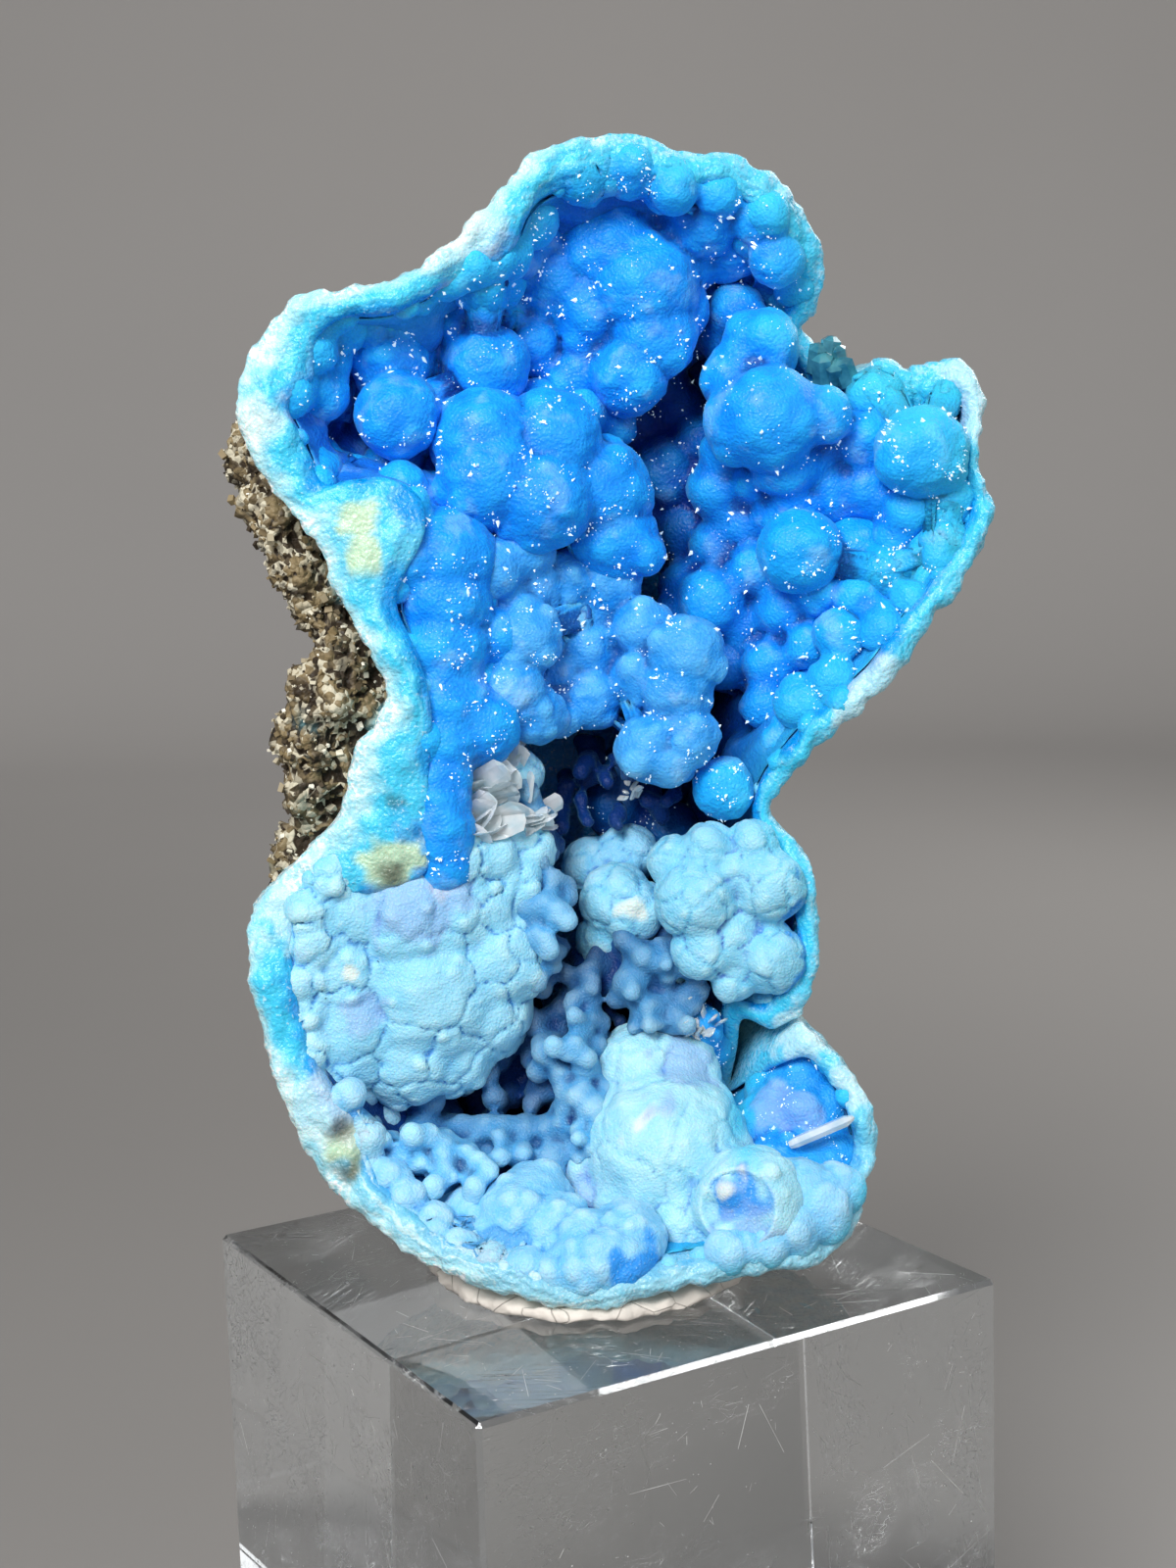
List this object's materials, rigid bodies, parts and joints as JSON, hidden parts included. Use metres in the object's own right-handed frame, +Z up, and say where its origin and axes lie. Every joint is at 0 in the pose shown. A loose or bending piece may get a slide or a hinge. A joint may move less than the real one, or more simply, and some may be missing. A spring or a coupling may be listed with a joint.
{
  "type": "hemimorphite specimen on acrylic block",
  "caption": "Upright broken hollow of pale turquoise rind lined with blue botryoidal hemimorphite balls and fingers, brown host rock outside, set with putty on a clear square block.",
  "frame": {"origin": "middle of the clear block's underside, on the surface it stands on", "axes": "+Z up through the block to the top of the specimen, -Y out of the hollow's mouth, +X to the right of someone who looks into it"},
  "size_m": [0.0725, 0.0692, 0.1502],
  "materials": {
    "rind": "pale translucent mineral, dull to waxy",
    "crust": "sparkling, fine crystal skin over balls",
    "host_rock": "rough, granular",
    "putty": "dry, cracked",
    "acrylic": "clear, polished, lightly scratched"
  },
  "bodies": {
    "root": {"rind": "rind", "crust": "crust", "host_rock": "host_rock", "putty": "putty", "acrylic_block": "acrylic"}
  },
  "joints": []
}
